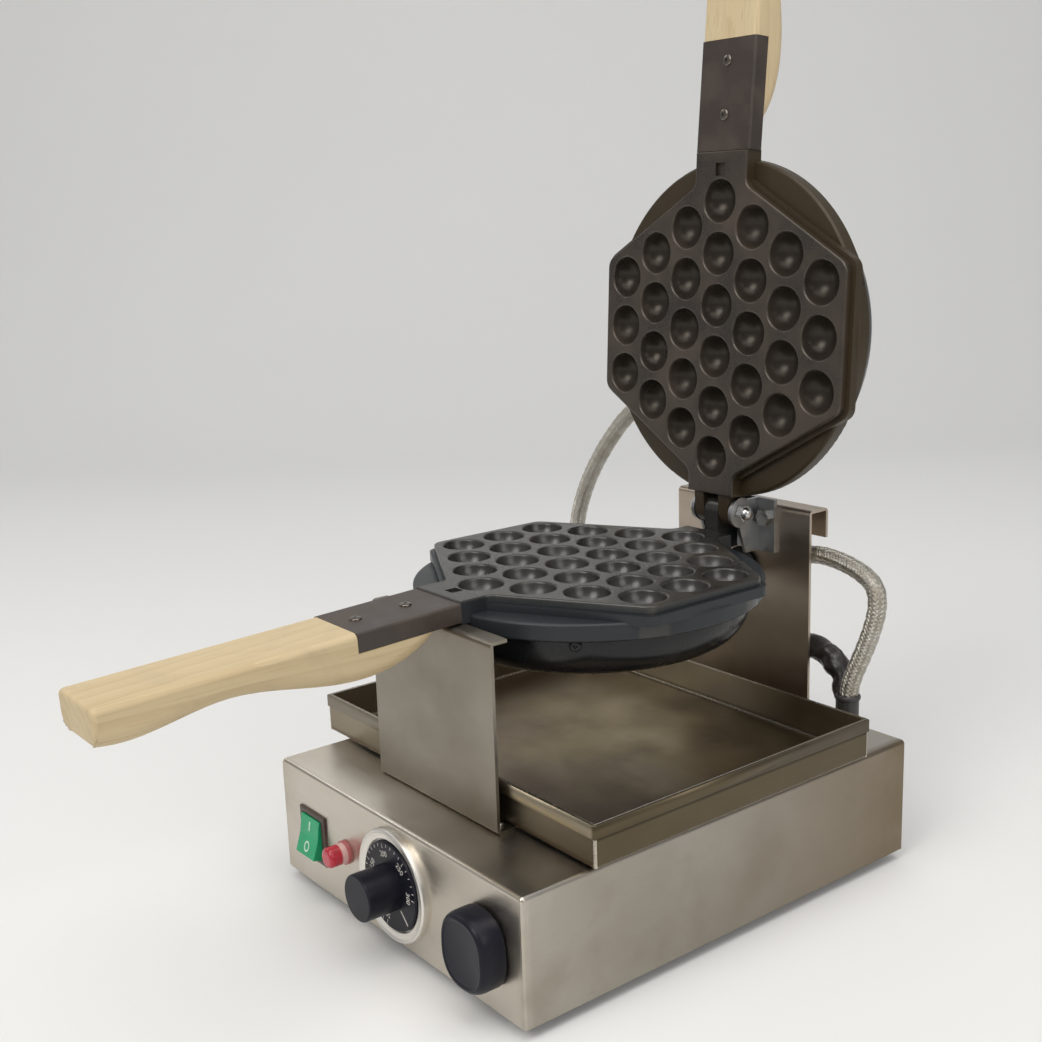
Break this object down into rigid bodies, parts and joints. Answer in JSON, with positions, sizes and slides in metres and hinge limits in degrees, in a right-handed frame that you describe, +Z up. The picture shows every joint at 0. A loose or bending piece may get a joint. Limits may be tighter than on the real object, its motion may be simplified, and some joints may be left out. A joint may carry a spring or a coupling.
{
  "type": "bubble waffle maker",
  "caption": "Countertop bubble waffle maker: hinged round cup plates with wooden handles above a steel control base, drip tray and braided hoses.",
  "frame": {"origin": "centre of the base on the plane that the feet stand on", "axes": "+Z up, -Y to the front with the controls, +X to the right seen from the front"},
  "size_m": [0.3155, 0.5018, 0.667],
  "materials": {
    "stainless": "brushed, a little warm",
    "tray_steel": "brushed, stained inside by batter and heat",
    "galvanised": "dull zinc",
    "bright_steel": "plated fasteners",
    "plate_coating": "cast aluminium with a dark non-stick coat",
    "cover_paint": "dark satin paint on pressed steel",
    "channel_paint": "dark brown satin paint on folded steel",
    "pale_wood": "bare, sanded",
    "black_knob": "fine grain",
    "switch_frame": "dark brown",
    "green_rocker": "translucent green",
    "red_lens": "translucent red",
    "lamp_ring": "pale",
    "control_case": "dark moulded cases inside the base",
    "shaft_steel": "turned",
    "white_block": "moulded",
    "dark_gland": "moulded",
    "braid": "woven metal sleeve over rubber insulated wires",
    "foot_rubber": "matt",
    "heater_steel": "heat darkened"
  },
  "bodies": {
    "base": {"base_housing": "stainless", "rear_panel": "stainless", "bottom_cover": "galvanised", "rubber_feet": "foot_rubber", "foot_screws": "bright_steel", "front_support": "stainless", "rear_support": "stainless", "support_screws": "bright_steel", "switch_body": "switch_frame", "lamp_holder": "lamp_ring", "lamp_lens": "red_lens", "thermostat_bezel": "stainless", "thermostat_body": "control_case", "timer_body": "control_case", "terminal_block": "white_block", "mains_gland": "dark_gland", "lower_hose_gland": "dark_gland", "upper_hose_gland": "dark_gland", "hinge_bracket": "galvanised", "bracket_bolts": "bright_steel", "hinge_pin": "shaft_steel", "hinge_acorn_nuts": "bright_steel", "lower_hose": "braid", "upper_hose": "braid", "lower_plate": "plate_coating", "lower_cover": "cover_paint", "lower_cover_screws": "bright_steel", "lower_heater": "heater_steel", "lower_hose_socket": "galvanised", "lower_handle_channel": "channel_paint", "lower_grip": "pale_wood", "lower_handle_screws": "bright_steel"},
    "upper_iron": {"upper_plate": "plate_coating", "upper_cover": "cover_paint", "upper_cover_screws": "bright_steel", "upper_heater": "heater_steel", "upper_hose_socket": "galvanised", "upper_handle_channel": "channel_paint", "upper_grip": "pale_wood", "upper_handle_screws": "bright_steel"},
    "tray": {"drip_tray": "tray_steel"},
    "rocker": {"switch_rocker": "green_rocker"},
    "thermostat_dial": {"thermostat_knob": "black_knob", "thermostat_shaft": "shaft_steel"},
    "timer_dial": {"timer_knob": "black_knob", "timer_shaft": "shaft_steel"}
  },
  "joints": [
    {"name": "lid_hinge", "type": "hinge", "parent": "base", "child": "upper_iron", "pos_m": [0, 0.1186, 0.221], "axis": [1, 0, 0], "range_deg": [0, 93], "deforming": ["upper_hose"]},
    {"name": "tray_slide", "type": "slide", "parent": "base", "child": "tray", "axis": [-1, 0, 0], "range_m": [0, 0.27]},
    {"name": "rocker_tilt", "type": "hinge", "parent": "base", "child": "rocker", "pos_m": [-0.0875, -0.157, 0.0412], "axis": [1, 0, 0], "range_deg": [0, 26]},
    {"name": "thermostat_turn", "type": "hinge", "parent": "base", "child": "thermostat_dial", "pos_m": [0.005, -0.156, 0.0437], "axis": [0, 1, 0], "range_deg": [-90, 180]},
    {"name": "timer_turn", "type": "hinge", "parent": "base", "child": "timer_dial", "pos_m": [0.093, -0.156, 0.0437], "axis": [0, 1, 0], "range_deg": [0, 300]}
  ]
}
